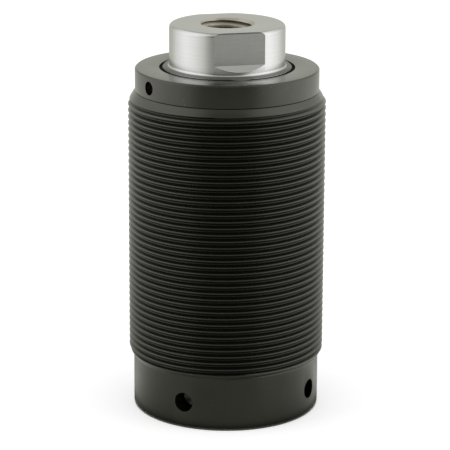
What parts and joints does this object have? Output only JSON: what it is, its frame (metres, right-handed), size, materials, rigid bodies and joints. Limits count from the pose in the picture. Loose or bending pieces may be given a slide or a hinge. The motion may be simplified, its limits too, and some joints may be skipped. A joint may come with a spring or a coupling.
{
  "type": "threaded body hydraulic cylinder",
  "caption": "Threaded body hydraulic cylinder: a black body with a fine outside thread, a screwed-in gland and a bright sliding rod end with a tapped hole and wrench flats.",
  "frame": {"origin": "centre of the base face, on the cylinder's axis", "axes": "+Z along the cylinder's axis, from the base to the rod end; -Y is the front in the picture"},
  "size_m": [0.0476, 0.0476, 0.0951],
  "materials": {
    "black_oxide_steel": "satin",
    "chromed_rod": "ground",
    "plain_steel": "machined",
    "black_rubber": "matte",
    "seal_urethane": "satin",
    "bearing_polymer": "matte",
    "sintered_bronze": "porous",
    "spring_steel": "drawn"
  },
  "bodies": {
    "cylinder_body": {"threaded_body": "black_oxide_steel", "gland_head": "black_oxide_steel", "gland_o_ring": "black_rubber", "breather_filter": "sintered_bronze", "rod_wiper": "black_rubber", "upper_rod_bearing": "bearing_polymer", "lower_rod_bearing": "bearing_polymer", "upper_spring_washer": "plain_steel", "return_spring": "spring_steel"},
    "piston_rings": {"lower_spring_washer": "plain_steel", "piston_seal": "seal_urethane", "seal_energizer": "black_rubber", "seal_backup_ring": "bearing_polymer", "piston_wear_ring": "bearing_polymer"},
    "rod_assembly": {"piston_rod": "chromed_rod", "piston": "plain_steel", "piston_static_o_ring": "black_rubber", "nut_washer": "plain_steel", "piston_nut": "plain_steel", "nut_locking_insert": "bearing_polymer"}
  },
  "joints": [
    {"name": "rod_stroke", "type": "slide", "parent": "cylinder_body", "child": "piston_rings", "axis": [0, 0, 1], "range_m": [0, 0.01905], "stiffness_N_per_m": 1300, "springref_m": -0.01, "deforming": ["return_spring"]},
    {"name": "rod_spin", "type": "hinge", "parent": "piston_rings", "child": "rod_assembly", "pos_m": [0, 0, 0], "axis": [0, 0, 1], "continuous": true}
  ]
}
